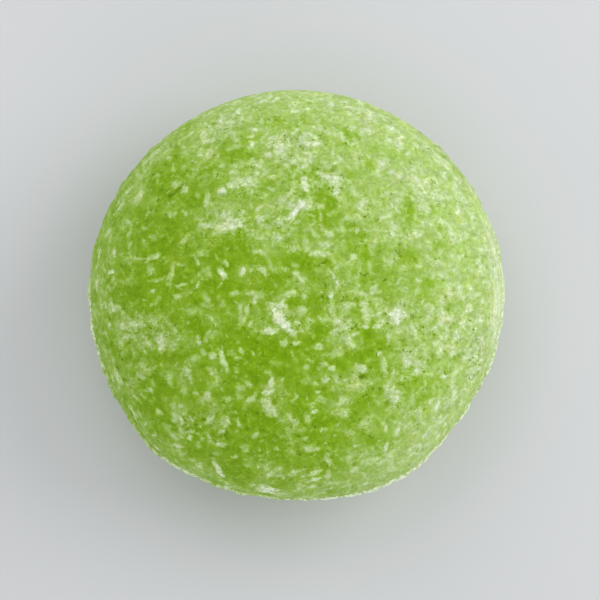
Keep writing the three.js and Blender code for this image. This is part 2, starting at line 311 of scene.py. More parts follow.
# ---------------- how white the skin is
# Small white grains of the crown: x, y, heading in degrees, length, width, whiteness.
SMALL_GRAINS = [
    (-11, 14.5, 0, 1.2, 0.9, 0.85), (-18.2, 15.8, 45, 1.5, 1.1, 0.75), (-16.9, 14.9, 0, 1.2, 1, 0.75),
    (-18.6, 11.1, 0, 1.6, 1.1, 0.6), (-13.4, 13.2, 85, 2.4, 1, 0.7), (-24.2, 14.2, 30, 2.2, 1.1, 0.75),
    (-25.7, 15.5, 20, 1.8, 1, 0.65), (-23, 20.2, 50, 1.3, 0.8, 0.7), (-21.8, 21.6, 0, 1.6, 1.2, 0.65),
    (-20.7, 22.4, 0, 1, 0.7, 0.65), (-13.3, 22.7, -5, 1.8, 0.8, 0.8), (-13, 20.6, 60, 2.4, 1.1, 0.65),
    (-14.6, 20.5, 0, 1, 0.8, 0.7), (-13.2, 27.7, 10, 1.2, 0.7, 0.65), (-11.1, 18.6, 80, 1.5, 0.9, 0.6),
    (-5.6, 18.3, 65, 2.2, 0.8, 0.65), (-2.3, 21.2, -50, 2.6, 1.6, 0.85), (-4.2, 20.1, 0, 1.2, 0.9, 0.8),
    (-2.9, 22.9, 0, 1.2, 0.8, 0.7), (-7.8, 16, -5, 3.8, 1.9, 0.75), (-3.5, 16.6, 0, 1.2, 0.8, 0.7),
    (-6.4, 24.2, 0, 1.2, 0.8, 0.75), (-0.2, 27.4, -20, 1.6, 0.9, 0.75), (-5.3, 29.6, 0, 2.5, 0.9, 0.5),
    (-10.8, 10.8, 0, 1.4, 1, 0.8), (-13.2, 9.2, 5, 1.8, 0.9, 0.75), (-5.4, 10.1, 0, 1.3, 1, 0.8),
    (-2.7, 9.7, 0, 1.4, 0.9, 0.7), (-2.9, 7.4, 0, 1.8, 1.5, 0.65), (-6.7, 8.1, 0, 1.6, 1.2, 0.7),
    (-16.6, 7.2, 65, 2.4, 0.8, 0.6), (-25.6, 10.4, 0, 1, 0.8, 0.7), (-25.3, 8.4, 78, 3, 0.7, 0.55),
    (-27.7, 5.7, -75, 1.4, 0.6, 0.9), (-28.2, 2.8, 10, 1.3, 0.6, 0.9), (-30.7, 1.4, 75, 2.2, 0.8, 0.85),
    (-22, 2.9, 85, 1.6, 1, 0.6), (-17, 0.4, 12, 1.8, 0.5, 0.75), (-21.5, -0.4, 0, 0.9, 0.6, 0.75),
    (-17.8, -1.4, 0, 1.2, 0.8, 0.7), (-7.9, 2.3, 70, 1.1, 0.7, 0.85), (-13.3, 2.4, 0, 1.4, 1, 0.6),
    (-14.4, 4.9, 5, 2.6, 1, 0.55), (-10.4, 3.5, -60, 1.2, 0.8, 0.7), (0, 1.9, -40, 1.4, 0.8, 0.7),
    (-25.1, 1.3, 0, 1.3, 1.1, 0.55), (1.3, 16.4, 0, 0.8, 0.6, 0.95), (1.9, 12.4, 70, 2.4, 1.2, 0.7),
    (6, 14.3, 70, 1.4, 1, 0.85), (1.9, 23.4, -15, 2.6, 0.8, 0.8), (1.3, 21.9, -5, 2, 0.8, 0.75),
    (3.3, 24.5, 0, 1.4, 0.8, 0.75), (6.8, 23.2, 0, 1.6, 1.2, 0.65), (5.2, 29, 0, 1.2, 1, 0.7),
    (10.6, 24.3, -20, 2, 1, 0.75), (10, 26.2, 0, 2.4, 0.9, 0.65), (13.5, 26.6, -30, 1.8, 0.8, 0.65),
    (14.2, 22.9, 0, 1.2, 0.9, 0.75), (18.4, 22.3, -60, 1.2, 0.8, 0.8), (12.9, 18.5, 0, 1.2, 0.7, 0.7),
    (0.1, 19.3, 10, 2.2, 1.2, 0.7), (4.8, 7.9, 0, 1.4, 1, 0.7), (1.9, 8.5, 0, 1.2, 0.8, 0.55),
    (6.6, 8.5, 0, 1.4, 1.2, 0.6), (4.4, 6.3, 5, 2.4, 0.8, 0.7), (0.1, 5.6, 0, 1.2, 1, 0.65),
    (8.6, 4.4, 0, 1.2, 0.8, 0.7), (11.8, 6.8, 80, 1.6, 0.6, 0.7), (0.7, 1, -50, 1.6, 0.5, 0.7),
    (11.7, -0.3, 50, 1.8, 0.9, 0.75), (9.4, -1.1, 0, 1.4, 1, 0.6), (22, 10.2, 0, 1.5, 1.2, 0.7),
    (16.9, 16.9, 80, 2.6, 0.8, 0.6), (19, 17.8, 80, 2, 0.7, 0.55), (20, 15.6, 0, 0.9, 0.7, 0.75),
    (24.8, 17, -60, 2.4, 1, 0.7), (22.6, 19.8, -60, 2, 0.9, 0.7), (25.4, 8.3, 0, 2, 1.4, 0.7),
    (29.8, 8.6, -75, 2, 1, 0.75), (29.8, 3.8, -85, 4, 0.9, 0.8), (21.5, 3.8, 0, 1.5, 1, 0.6),
    (-5.8, -1.2, -10, 2.6, 1, 0.65), (-2.3, -2.9, 0, 2, 0.9, 0.85), (-1.9, -8.4, 0, 1.2, 1, 0.75),
    (-0.7, -6.9, -45, 1.6, 0.9, 0.8), (0, -8.5, 0, 1, 0.7, 0.75), (-7.5, -4, 75, 2.2, 0.9, 0.75),
    (-13.3, -2.7, -20, 2.2, 1.2, 0.6), (-11, -2.6, 0, 1.2, 0.7, 0.6), (-12.6, -4.9, -60, 1.8, 0.5, 0.65),
    (-16.1, -3.5, 0, 1.6, 1, 0.5), (-27.1, -2.9, 0, 1.4, 1, 0.6), (-20.8, -4.7, 50, 2, 0.8, 0.55),
    (-24.5, -5.4, 0, 1.4, 1, 0.75), (-23.2, -5.5, 0, 1.4, 1, 0.65), (-26.1, -5.7, -10, 2.2, 0.9, 0.7),
    (-24.8, -7.2, 0, 1.2, 0.8, 0.6), (-26.7, -8.2, 75, 1.8, 0.8, 0.6), (-22.9, -9.3, -50, 1.6, 0.6, 0.6),
    (-14.4, -8.4, 0, 0.7, 0.6, 0.9), (-15, -10.7, 0, 1.4, 1.2, 0.55), (-9.7, -9.8, 0, 1.4, 1, 0.55),
    (-23.3, -11.6, -45, 1.6, 0.7, 0.6), (-23.4, -13.2, -15, 1.8, 0.7, 0.75), (-27.4, -13, -70, 2, 1.1, 0.7),
    (-24.9, -15.6, 85, 1.6, 0.7, 0.6), (-21.9, -15.3, -70, 1, 0.6, 0.75),
    (-17.2, -13.2, 70, 1.6, 0.5, 0.55), (-16.5, -12.3, 0, 1.2, 0.5, 0.6),
    (-15.8, -13.5, -80, 1.8, 0.6, 0.65), (-13.5, -16.1, 65, 1.4, 0.7, 0.75),
    (-12, -14.1, 80, 1.6, 0.6, 0.55), (-8.3, -15.1, 0, 1.4, 1, 0.6), (-8.5, -16.4, 0, 1, 0.7, 0.65),
    (-3.7, -14.3, 75, 1.8, 0.8, 0.85), (-16.8, -15.6, 0, 1.2, 0.8, 0.6), (-20.7, -18.6, 0, 1.2, 0.9, 0.7),
    (-18, -19.3, -25, 2.4, 0.9, 0.7), (-15.8, -19.6, 0, 1.6, 0.8, 0.6), (-12.9, -19.5, 55, 3, 0.9, 0.6),
    (-10.6, -20.3, 0, 1.6, 1.4, 0.7), (-11.1, -21.5, 0, 0.9, 0.6, 0.75), (-17.4, -21.7, 70, 2, 1.2, 0.6),
    (-15.9, -21.4, 0, 1, 0.7, 0.6), (-11.2, -23.5, 0, 1.6, 1, 0.75), (-12, -24.8, 0, 1.4, 0.9, 0.6),
    (-15.9, -25.8, 0, 1.2, 0.9, 0.65), (-2.2, -19.7, 0, 1.4, 0.9, 0.6), (-3.1, -24.1, 0, 0.9, 0.6, 0.7),
    (-4.3, -26.9, 60, 1.8, 1, 0.6), (-2.7, -27.1, 0, 1.2, 0.8, 0.55), (-0.5, -27.9, 0, 1.6, 0.8, 0.6),
    (-0.9, -21.3, 0, 1.6, 1, 0.5), (-0.7, -23, 0, 1.6, 1.2, 0.5), (0.9, -3.5, 0, 1.4, 1, 0.7),
    (1.2, -1.6, 0, 1, 0.8, 0.7), (5.2, -1.6, 0, 0.9, 0.7, 0.9), (7.7, -2.9, 0, 1.4, 1, 0.6),
    (10.3, -6, 0, 1, 0.6, 0.85), (12, -5.9, 10, 1.4, 0.7, 0.8), (12.3, -2.2, 0, 1.6, 1, 0.6),
    (3.4, -9, 0, 1.4, 0.9, 0.75), (6.6, -9.7, 0, 1.6, 1.2, 0.6), (13.8, -7.4, 0, 0.8, 0.7, 0.65),
    (22.7, -6.7, 80, 1.8, 0.8, 0.7), (26, -2.8, 60, 1.8, 0.9, 0.7), (23.2, -0.7, 85, 2, 1, 0.75),
    (21, -8.5, 70, 1.6, 1, 0.65), (23.5, -9.8, 0, 1.2, 1, 0.7), (28.3, -8.9, -80, 2.4, 1, 0.8),
    (25.5, -10.6, 0, 1.2, 1, 0.75), (26.6, -12.3, 0, 2.4, 1.2, 0.65), (16.9, -10.8, 0, 1.8, 1.2, 0.75),
    (18.7, -11.4, 0, 1.4, 0.9, 0.55), (12.4, -9.9, 0, 0.9, 0.7, 0.8), (9.8, -12.1, 0, 1.6, 1.2, 0.8),
    (4.1, -11.6, 0, 1.2, 1, 0.75), (5.3, -12.1, 0, 1.2, 1, 0.8), (1.6, -11.9, 0, 0.9, 0.7, 0.65),
    (4.4, -13.8, 60, 1.3, 0.9, 0.8), (1.3, -14.1, 0, 1.6, 1, 0.5), (3.2, -15.7, 0, 0.8, 0.6, 0.75),
    (14.1, -15.3, 0, 1.6, 1, 0.7), (14.9, -16.8, 60, 1.4, 1, 0.75), (15.2, -15.6, 0, 0.7, 0.6, 0.85),
    (20.2, -13.1, 0, 1.4, 0.9, 0.55), (22.4, -13.2, 0, 1.2, 0.8, 0.8), (22.7, -17.2, 0, 1.2, 0.8, 0.6),
    (2.8, -18.6, 0, 0.9, 0.7, 0.7), (10.2, -20.2, 0, 1.6, 0.9, 0.65), (13.5, -21.1, 80, 1, 0.6, 0.7),
    (16.8, -20.7, 0, 1.6, 1.2, 0.6), (17.4, -18.7, 25, 1.6, 0.6, 0.55), (20, -17.2, 0, 1.4, 0.8, 0.55),
    (18.5, -19.1, 0, 0.9, 0.7, 0.6), (20.9, -19.8, -30, 1.6, 0.8, 0.6), (1.3, -22.6, 0, 1, 0.8, 0.65),
    (7.9, -21.8, 0, 1.4, 0.8, 0.55), (1.9, -24.2, 0, 1.4, 1, 0.7), (4.9, -25.9, -65, 1.8, 0.9, 0.75),
    (8, -25.5, 0, 1.2, 0.9, 0.6), (10.5, -26.2, 0, 1.2, 1, 0.65), (8.9, -27.5, 0, 1.2, 0.8, 0.6),
    (4.9, -29.3, 0, 1.2, 0.9, 0.6), (10.4, -29.5, 0, 1.4, 0.8, 0.6), (13, -28.4, 10, 1.6, 0.6, 0.6),
    (1.6, -31.6, 0, 2.4, 0.6, 0.8), (9, 28.3, 8, 4.2, 0.7, 0.7), (18.4, 16, -54, 5, 0.7, 0.75),
    (9.9, 12.4, 50, 2.2, 1.1, 0.7), (-4.3, -30.3, -4, 3, 2, 0.95), (-11.9, -27, -76, 2.4, 0.8, 0.95),
    (-1.2, 13.9, 40, 3.4, 0.9, 0.75),
]
# Frosted places of the crown: x, y, radius, strength.
FROSTED = [
    (-8, 15.8, 2.3, 0.27), (-10.5, 9.8, 3, 0.28), (-3, 9, 3, 0.27), (-1.5, 21, 3, 0.28),
    (-11, 25.3, 3, 0.25), (-0.5, 13.2, 2.4, 0.25), (5.2, 16.5, 3, 0.25), (2, 23, 3, 0.25), (7, -7, 3, 0.25),
    (-3, -5.5, 3, 0.25), (14.5, -5, 2.4, 0.30), (22.5, -4.8, 3.5, 0.22), (17, -10.5, 2.5, 0.22),
    (27.5, -9, 4, 0.20), (9, -14.5, 2.5, 0.20), (-23, -6.5, 4, 0.26), (-18.5, -7.5, 2, 0.20),
    (-12, -19.5, 2.6, 0.18), (-17, -20, 2.4, 0.15), (-4, -17, 2, 0.25), (7, -18.5, 2, 0.20),
    (14.5, -15.5, 2, 0.20), (12, 10, 5, 0.10), (9, -1.5, 3, 0.10), (-0.5, -6, 2.5, 0.12),
    (4.5, 4.5, 3.5, 0.10), (6, 0, 3, 0.12), (-16.5, 16.5, 5, 0.05), (-1, -21.5, 5, 0.08),
]
# Clear, deep green places of the crown: x, y, radius.
CLEAR = [
    (-19.5, 17, 2.5), (-19, 7, 3.5), (-22.5, 1, 3), (-15, 1.5, 3), (-8.5, 20, 3), (0, 17.5, 2.5),
    (-9, 6, 3), (4.5, 12, 3.5), (1.5, 4.5, 2), (6.5, 3, 2), (10, 6, 2.5), (12, 1.5, 3), (18, 10, 3),
    (25.5, 12.5, 2.5), (-23, -2.5, 3), (-16, -6, 2), (-10, -1, 2.5), (-6, -9, 4), (-2, -11, 3),
    (-22, -17, 3), (-21, -20, 3), (-7, -19.5, 3), (-9, -27, 4), (-14.5, -22.5, 3), (-4, -22, 2.5),
    (1.5, -9, 2.5), (4, -6.5, 1.6), (8.8, -3.5, 1.2), (11, -7.5, 3), (7.5, -11, 2), (2, -16, 2.5),
    (17.5, -13.5, 3), (10, -17, 3), (4, -21, 3), (4.5, -24.5, 3), (2, -26.5, 3),
]
CLEAR_BY = -0.17  # strength of a clear place
HALO_BY = 0.16  # strength of the halo round a small grain
HALO_REACH = 0.75  # its radius over the grain's length
FROST_MIDDLE = 0.06  # how frosted the skin is before anything else is added
# The rim's paleness, partly frost and partly painted sheen:
RIM_HAZE_AND_SHEEN_START = 0.79  # where the rim's own haze begins, over the cap's radius
RIM_HAZE_AND_SHEEN_RUN = 0.16  # over how much of the radius it grows
LINE_GAIN = 2.6  # how fully the seam ring's whiteness covers the ring
SKIRT_MIDDLE = 0.8  # how much of the skirt of crumbs there is, before noise breaks it up
SKIRT_SHARE = 0.8  # its whiteness over the ring's
# The streaky edge on the right, where the lights fall: dried-out streaks and painted sheen.
DRY_START = 26.5  # how far from the axis the dry edge begins
DRY_RUN = 4.0  # over what distance it grows
DRY_POWER = 1.4
DRY_MIDDLE, DRY_SPREAD = 2, 30  # which way it lies and how far it reaches round, in degrees
DRY_ENDS = 4  # how squarely it ends there
DRY_FADE = 6  # how far below the seam it fades out
# Painted shade in the pits and in the crease beside the seam ring:
FULL_SHADE_DEPTH = 0.3  # a pit of this depth is fully dark
CREASE_SHADE = 0.5


def frost_places():
    """Centre, radius and strength of every frosted or clear place, and of a halo round each small grain."""
    places = [(crown_point(x, y), radius, strength) for x, y, radius, strength in FROSTED]
    places += [(crown_point(x, y), radius, CLEAR_BY) for x, y, radius in CLEAR]
    for x, y, _, length, _, whiteness in SMALL_GRAINS:
        places.append((crown_point(x, y), HALO_REACH * length, HALO_BY * whiteness))
    return places


FROST_PLACES = frost_places()


def frost_and_sheen_at(points):
    """How frosted the skin is, around 0: listed places on the crown, haze to the rim that is partly painted
    sheen on the lit side, noise everywhere.
    """
    frost_and_sheen = bumps(points, FROST_NOISE, middle=FROST_MIDDLE)
    patchy = bumps(points, FROST_PATCHES, middle=1)
    for centre, radius, strength in FROST_PLACES:
        frost_and_sheen += strength * patchy * spot(points, centre, radius)
    x, y, _ = points.T
    angle = np.arctan2(y, x)
    share = np.hypot(x, y) / CAP_RADIUS
    # Paler towards the rim, most on the lit side: partly frost, partly painted sheen.
    frost_and_sheen += lobes(angle, HAZE_AND_SHEEN) * share ** HAZE_AND_SHEEN_FADE * bumps(points, *HAZE_AND_SHEEN_PATCHES, middle=1)
    return frost_and_sheen + lobes(angle, RIM_HAZE_AND_SHEEN) * np.clip((share - RIM_HAZE_AND_SHEEN_START) / RIM_HAZE_AND_SHEEN_RUN, 0, 1)


def crumbs_at(points):
    """How crumbly the skin is in its frosted places, 0 or more."""
    crumbs = np.zeros(len(points))
    for x, y, radius, strength in FROSTED:
        crumbs += strength * spot(points, crown_point(x, y), radius)
    return crumbs


def ring_at(points):
    """How white the seam ring is, from 0 to 1."""
    x, y, z = points.T
    above = np.clip(z - SEAM_HEIGHT, 0, None)
    skirt = np.exp(-(above / RING_SKIRT) ** 2) * (z > LOWER_ROOT)
    skirt = skirt * bumps(points, SKIRT_NOISE, middle=SKIRT_MIDDLE)
    line = np.clip(LINE_GAIN * seam_share(points), 0, 1)
    return np.maximum(line, SKIRT_SHARE * skirt) * (RING_WHITENESS + lobes(np.arctan2(y, x), RING_WHITE))


def dry_streaks_and_sheen_at(points):
    """How dried-out and streaky the skin is, from 0 to 1: the edge on the right, whose whiteness is partly
    painted sheen where the lights fall.
    """
    x, y, z = points.T
    outward = np.clip((np.hypot(x, y) - DRY_START) / DRY_RUN, 0, 1) ** DRY_POWER
    offset = np.degrees(np.arctan2(y, x)) - DRY_MIDDLE
    edge = outward * np.exp(-(offset / DRY_SPREAD) ** DRY_ENDS)
    return edge * np.clip((z - SEAM_HEIGHT) / DRY_FADE + 1, 0, 1)


# ---------------- mesh building
def make_mesh(name, points, faces, layers):
    """A smooth mesh object of points in millimetres, with float layers on its points."""
    mesh = bpy.data.meshes.new(name)
    mesh.from_pydata((points * MM).tolist(), [], [list(map(int, face)) for face in faces])
    for layer, values in layers.items():
        attribute = mesh.attributes.new(layer, "FLOAT", "POINT")
        attribute.data.foreach_set("value", np.asarray(values, np.float32))
    mesh.polygons.foreach_set("use_smooth", np.ones(len(mesh.polygons), bool))
    mesh.update()
    piece = bpy.data.objects.new(name, mesh)
    bpy.context.scene.collection.objects.link(piece)
    return piece


def keep_in_box(points):
    """Points no further out than the CAD model."""
    return np.clip(points, np.array(CAD_BOX[0]) / MM, np.array(CAD_BOX[1]) / MM)


def skin_layers(plain):
    """The layers that say how white the skin is at points of the plain form."""
    kinds = {"frost_and_sheen": frost_and_sheen_at, "crumbs": crumbs_at, "ring": ring_at, "dry_and_sheen": dry_streaks_and_sheen_at}
    return {layer: found_at(plain) for layer, found_at in kinds.items()}


def build_body(material):
    """The green body with its seam ring, in the place of the CAD one."""
    plain, points, faces = body_shape()
    none = np.zeros(len(plain))
    layers = skin_layers(plain)
    # Painted shade: pits darker with their depth, and the crease beside the seam ring.
    layers["pit"] = pit_depth(plain) / FULL_SHADE_DEPTH + CREASE_SHADE * crease_share(plain)
    layers.update(core=none, tone=none, veil=none)
    body = make_mesh("pressed_soap", keep_in_box(points), faces, layers)
    body.data.materials.append(material)
    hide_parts("soap_body")
    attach(body, "root")


# ---------------- grains
GRAIN_RISE = 0.06  # how far the middle of a large grain stands out of the skin
SMALL_RISE = 0.04  # the same for a small grain
GRAIN_DIP = 0.05  # how far its edge lies under the skin
GRAIN_DEPTH = 0.45  # how deep its underside reaches
EDGE_POWER = 3  # how suddenly its top bends down at the edge
UNDERSIDE_SHARE = 0.6  # size of its underside over its outline
SQUARENESS = 2.6  # of its outline: 2 is an oval
RAGGED = 0.44  # how uneven its outline is
RAGGED_WAVES = [(1.0, 1.3, 0.37), (0.5, 3, 0.71)]  # height, number of waves, how far apart the seeds lie
GRAIN_SPREAD = 1.6  # a grain's mesh over its size, because its edge frays into the skin
LARGE_MESH = (6, 32)  # rings and sides of a large grain
SMALL_MESH = (4, 18)  # the same for a small one
SMALL_SEED_STEP = 1.7
SMALL_TONE = (0.45, 0.55)  # least tone, and what whiteness adds
SMALL_VEIL_POWER = 1.1

# Grains scattered over the steep sides: distance from the axis, heading in degrees, size, whiteness.
RIM_BAND = (27.5, 31.7)
LOWER_BAND = (19.5, 31.7)
SIDE_HEADINGS = (0, 180)
SIDE_LENGTHS = (0.9, 2.6)
SIDE_WIDTHS = (0.6, 1.1)
SIDE_WHITENESS = (0.5, 0.8)
RIM_COUNT = 70
LOWER_COUNT = 230
SCATTER_SEED = 7
# How white and how covering a large grain is where GRAIN_LOOKS doesn't say.
LARGE_TONES = (0.7, 0.85)
LARGE_VEILS = (0.5, 0.8)


def grain_outline(length, width, sides, seed):
    """A ragged, squarish outline about its middle: along and across the grain."""
    turn = np.linspace(0, 2 * math.pi, sides, endpoint=False)
    along_it, across = np.cos(turn), np.sin(turn)
    reach = (np.abs(along_it) ** SQUARENESS + np.abs(across) ** SQUARENESS) ** (-1 / SQUARENESS)
    wobble = np.zeros(sides)
    for height, waves, apart in RAGGED_WAVES:
        places = [Vector((a * waves + seed, b * waves, seed * apart)) for a, b in zip(along_it, across)]
        wobble += height * np.array([noise.noise(place) for place in places])
    reach = reach * (1 + RAGGED * wobble)
    return np.stack([along_it * reach * length / 2, across * reach * width / 2], -1)


def grain_faces(rings, sides):
    """Faces over a middle point, rings of points and a last point under them."""
    faces = []
    last = 1 + (rings + 1) * sides
    for k in range(sides):
        n = (k + 1) % sides
        faces.append((0, 1 + k, 1 + n))
        for ring in range(rings):
            a = 1 + ring * sides
            faces.append((a + k, a + sides + k, a + sides + n, a + n))
        a = 1 + rings * sides
        faces.append((a + k, last, a + n))
    return faces


def grain_shape(centre, heading, out, length, width, rise, seed, mesh_size):
    """One flat grain lying in the skin: its points, lifts, faces, and how near each point is to the core."""
    rings, sides = mesh_size
    outline = grain_outline(length, width, sides, seed)
    flat = [np.zeros((1, 2))]
    lift = [np.array([rise])]
    core = [np.ones(1)]
    for share in np.linspace(0, 1, rings + 1)[1:]:
        flat.append(outline * share)
        lift.append(np.full(sides, rise - (rise + GRAIN_DIP) * share ** EDGE_POWER))
        core.append(np.full(sides, 1 - share))
    flat += [outline * UNDERSIDE_SHARE, np.zeros((1, 2))]
    lift += [np.full(sides + 1, -GRAIN_DEPTH)]
    core += [np.zeros(sides + 1)]
    flat, lift, core = np.concatenate(flat), np.concatenate(lift), np.concatenate(core)
    points = centre + flat[:, :1] * heading + flat[:, 1:] * np.cross(out, heading)
    plain = drop_to_form(points, np.repeat(out[None], len(points), 0))
    return plain, lift, grain_faces(rings, sides), core


def settle(plain, lift):
    """Grain points in the real skin: the plain form plus its relief and the grain's own lift."""
    normals = form_normals(plain)
    return plain + normals * (relief(plain) + lift)[:, None]


def node_pose(name):
    """Middle, heading, outward direction, length and width of a CAD grain, from its vertices."""
    corners = np.array([v.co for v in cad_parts[name].data.vertices]) / MM
    centre = (corners.min(0) + corners.max(0)) / 2
    out = form_normals(centre[None])[0]
    flat = corners - corners.mean(0)
    flat = flat - np.outer(flat @ out, out)
    _, _, axes = np.linalg.svd(flat, full_matrices=False)
    heading = axes[0] - out * (axes[0] @ out)
    heading /= np.linalg.norm(heading)
    cross = np.cross(out, heading)
    length = np.ptp(flat @ heading)
    width = np.ptp(flat @ cross)
    return centre, heading, out, length, width


def grain_layers(plain, core, tone, veil):
    """Skin layers at a grain's points, with how solid, how white and how covering the grain is there."""
    layers = skin_layers(plain)
    layers.update(pit=np.zeros(len(plain)), core=core, tone=tone, veil=veil)
    return layers


def build_grain(name, seed, material, tone, veil):
    """A large grain in the place of a CAD one."""
    centre, heading, out, length, width = node_pose(name)
    length, width = GRAIN_SPREAD * length, GRAIN_SPREAD * width
    plain, lift, faces, core = grain_shape(
        centre, heading, out, length, width, GRAIN_RISE, seed, LARGE_MESH)
    one = np.ones(len(plain))
    layers = grain_layers(plain, core, tone * one, veil * one)
    grain = make_mesh("white_" + name, keep_in_box(settle(plain, lift)), faces, layers)
    grain.data.materials.append(material)
    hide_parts(name)
    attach(grain, "root")


def flat_heading(out, degrees):
    """The direction along the skin that lies at an angle to +X in plan."""
    turn = math.radians(degrees)
    heading = np.array([math.cos(turn), math.sin(turn), 0.0])
    heading -= out * (heading @ out)
    return heading / np.linalg.norm(heading)


def build_small_grains(name, grains, material):
    """Small grains as one piece. Each is a centre, heading in degrees, length, width and whiteness."""
    plains, lifts, faces, cores, tones, veils = [], [], [], [], [], []
    first = 0
    for number, (centre, degrees, length, width, whiteness) in enumerate(grains):
        out = form_normals(centre[None])[0]
        length, width = GRAIN_SPREAD * length, GRAIN_SPREAD * width
        heading, seed = flat_heading(out, degrees), number * SMALL_SEED_STEP
        plain, lift, own_faces, core = grain_shape(
            centre, heading, out, length, width, SMALL_RISE, seed, SMALL_MESH)
        faces += [tuple(first + corner for corner in face) for face in own_faces]
        first += len(plain)
        plains.append(plain)
        lifts.append(lift)
        cores.append(core)
        tones.append(np.full(len(plain), SMALL_TONE[0] + SMALL_TONE[1] * whiteness))
        veils.append(np.full(len(plain), whiteness ** SMALL_VEIL_POWER))
    plain = np.concatenate(plains)
    layers = grain_layers(plain, np.concatenate(cores), np.concatenate(tones), np.concatenate(veils))
    piece = make_mesh(name, keep_in_box(settle(plain, np.concatenate(lifts))), faces, layers)
    piece.data.materials.append(material)
    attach(piece, "root")


def side_point(radius, angle, upper):
    """A point of the upper or lower cap at a distance from the axis."""
    x, y = radius * math.cos(angle), radius * math.sin(angle)
    if upper:
        return crown_point(x, y)
    level = (1 - (radius / CAP_RADIUS) ** CAP_POWER) ** (1 / CAP_POWER)
    start = np.array([[x, y, LOWER_ROOT - LOWER_DEPTH * level]])
    outward = np.array([[x, y, 0]]) / radius
    return drop_to_form(start, outward)[0]


def side_grains(count, upper, draws):
    """Small grains scattered over the steep part of the upper or lower cap."""
    grains = []
    for _ in range(count):
        radius = draws.uniform(*(RIM_BAND if upper else LOWER_BAND))
        angle = draws.uniform(-math.pi, math.pi)
        length = draws.uniform(*SIDE_LENGTHS)
        degrees = draws.uniform(*SIDE_HEADINGS)
        width = draws.uniform(*SIDE_WIDTHS)
        whiteness = draws.uniform(*SIDE_WHITENESS)
        grains.append((side_point(radius, angle, upper), degrees, length, width, whiteness))
    return grains


# ---------------- node helpers
class Nodes:
    """Adds shader nodes to a material, with sockets or plain numbers as inputs."""

    def __init__(self, tree):
        self.tree = tree

    def add(self, kind, inputs=None, **settings):
        node = self.tree.nodes.new(kind)
        for key, value in settings.items():
            setattr(node, key, value)
        for key, value in (inputs or {}).items():
            self.feed(node.inputs[key], value)
        return node

    def feed(self, socket, value):
        if isinstance(value, bpy.types.NodeSocket):
            self.tree.links.new(value, socket)
        else:
            socket.default_value = value

    def math(self, operation, a, b=0.0, c=0.0):
        return self.add("ShaderNodeMath", {0: a, 1: b, 2: c}, operation=operation).outputs[0]

    def vector(self, operation, a, b=(0, 0, 0), scale=1.0):
        node = self.add("ShaderNodeVectorMath", {0: a, 1: b, 3: scale}, operation=operation)
        return node.outputs[1 if operation in ("DOT_PRODUCT", "LENGTH") else 0]

    def ramp(self, value, low, high, start=0.0, end=1.0):
        """value taken from low..high to start..end, with soft ends."""
        inputs = {"Value": value, "From Min": low, "From Max": high, "To Min": start, "To Max": end}
        return self.add("ShaderNodeMapRange", inputs, interpolation_type="SMOOTHSTEP").outputs["Result"]

    def noise(self, position, size, detail=2.0, roughness=0.5, output="Fac"):
        """Noise from 0 to 1 with bumps about size across."""
        inputs = {"Vector": position, "Scale": 1 / size, "Detail": detail, "Roughness": roughness}
        return self.add("ShaderNodeTexNoise", inputs, noise_dimensions="3D").outputs[output]

    def layer(self, name):
        return self.add("ShaderNodeAttribute", attribute_name=name).outputs["Fac"]

    def line(self, value, gain, base):
        """value * gain + base"""
        return self.math("MULTIPLY_ADD", value, gain, base)

    def centred(self, value):
        """A noise of 0 to 1 as -0.5 to 0.5."""
        return self.math("SUBTRACT", value, 0.5)

    def centred_colour(self, colour):
        return self.vector("SUBTRACT", colour, (0.5, 0.5, 0.5))

    def shift(self, position, amounts, seed=1):
        return self.vector("ADD", position, tuple(seed * amount for amount in amounts))

    def flatten(self, direction, normal):
        """The part of a direction that lies along the skin."""
        rise = self.vector("DOT_PRODUCT", direction, normal)
        return self.vector("SUBTRACT", direction, self.vector("SCALE", normal, scale=rise))

    def colours(self, value, stops):
        """Colours blended along a value from 0 to 1. A stop is a share and a linear colour."""
        node = self.add("ShaderNodeValToRGB", {"Fac": value})
        elements = node.color_ramp.elements
        while len(elements) < len(stops):
            elements.new(0.5)
        for element, (share, colour) in zip(elements, stops):
            element.position = share
            element.color = colour
        return node.outputs["Color"]


def fresh_nodes(owner):
    """Empties the shader nodes of a material or world, and gives the helper that fills them."""
    owner.use_nodes = True
    owner.node_tree.nodes.clear()
    return Nodes(owner.node_tree)


def linear(red, green, blue):
    """A colour from screen values of 0 to 255."""
    shares = [v / 255 for v in (red, green, blue)]
    return tuple(((v + 0.055) / 1.055) ** 2.4 if v > 0.04045 else v / 12.92 for v in shares) + (1.0,)


# ---------------- materials
# Colours of the skin from clear to white: share, then screen values.
SKIN_COLOURS = [
    (0.00, (112, 153, 0)), (0.20, (127, 166, 27)), (0.40, (144, 179, 66)), (0.60, (169, 198, 111)),
    (0.80, (196, 216, 158)), (1.00, (226, 236, 209)),
]
# Flecks in the skin: cell, length, width, share of cells with a fleck, opacity. Sizes are in millimetres.
FLECKS = [
    (3.2, 2.4, 1.0, 0.6, 0.50), (2.0, 1.5, 0.75, 0.6, 0.65), (1.25, 0.9, 0.5, 0.5, 0.50),
    (0.75, 0.45, 0.3, 0.3, 0.2),
]
FLECK_EDGE = (0.4, 0.45)  # reach of its soft edge over its width: what luck adds, and the least
FLECK_APART = (31.7, 12.9, 23.1)
WISP_APART = (9.1, 4.3, 7.7)
PATCH_SHIFT = (40.0, 7.0, 19.0)
CLUMP_SHIFT = (11.0, 23.0, 5.0)
HOLLOW_SHIFT = (3.0, 61.0, 27.0)
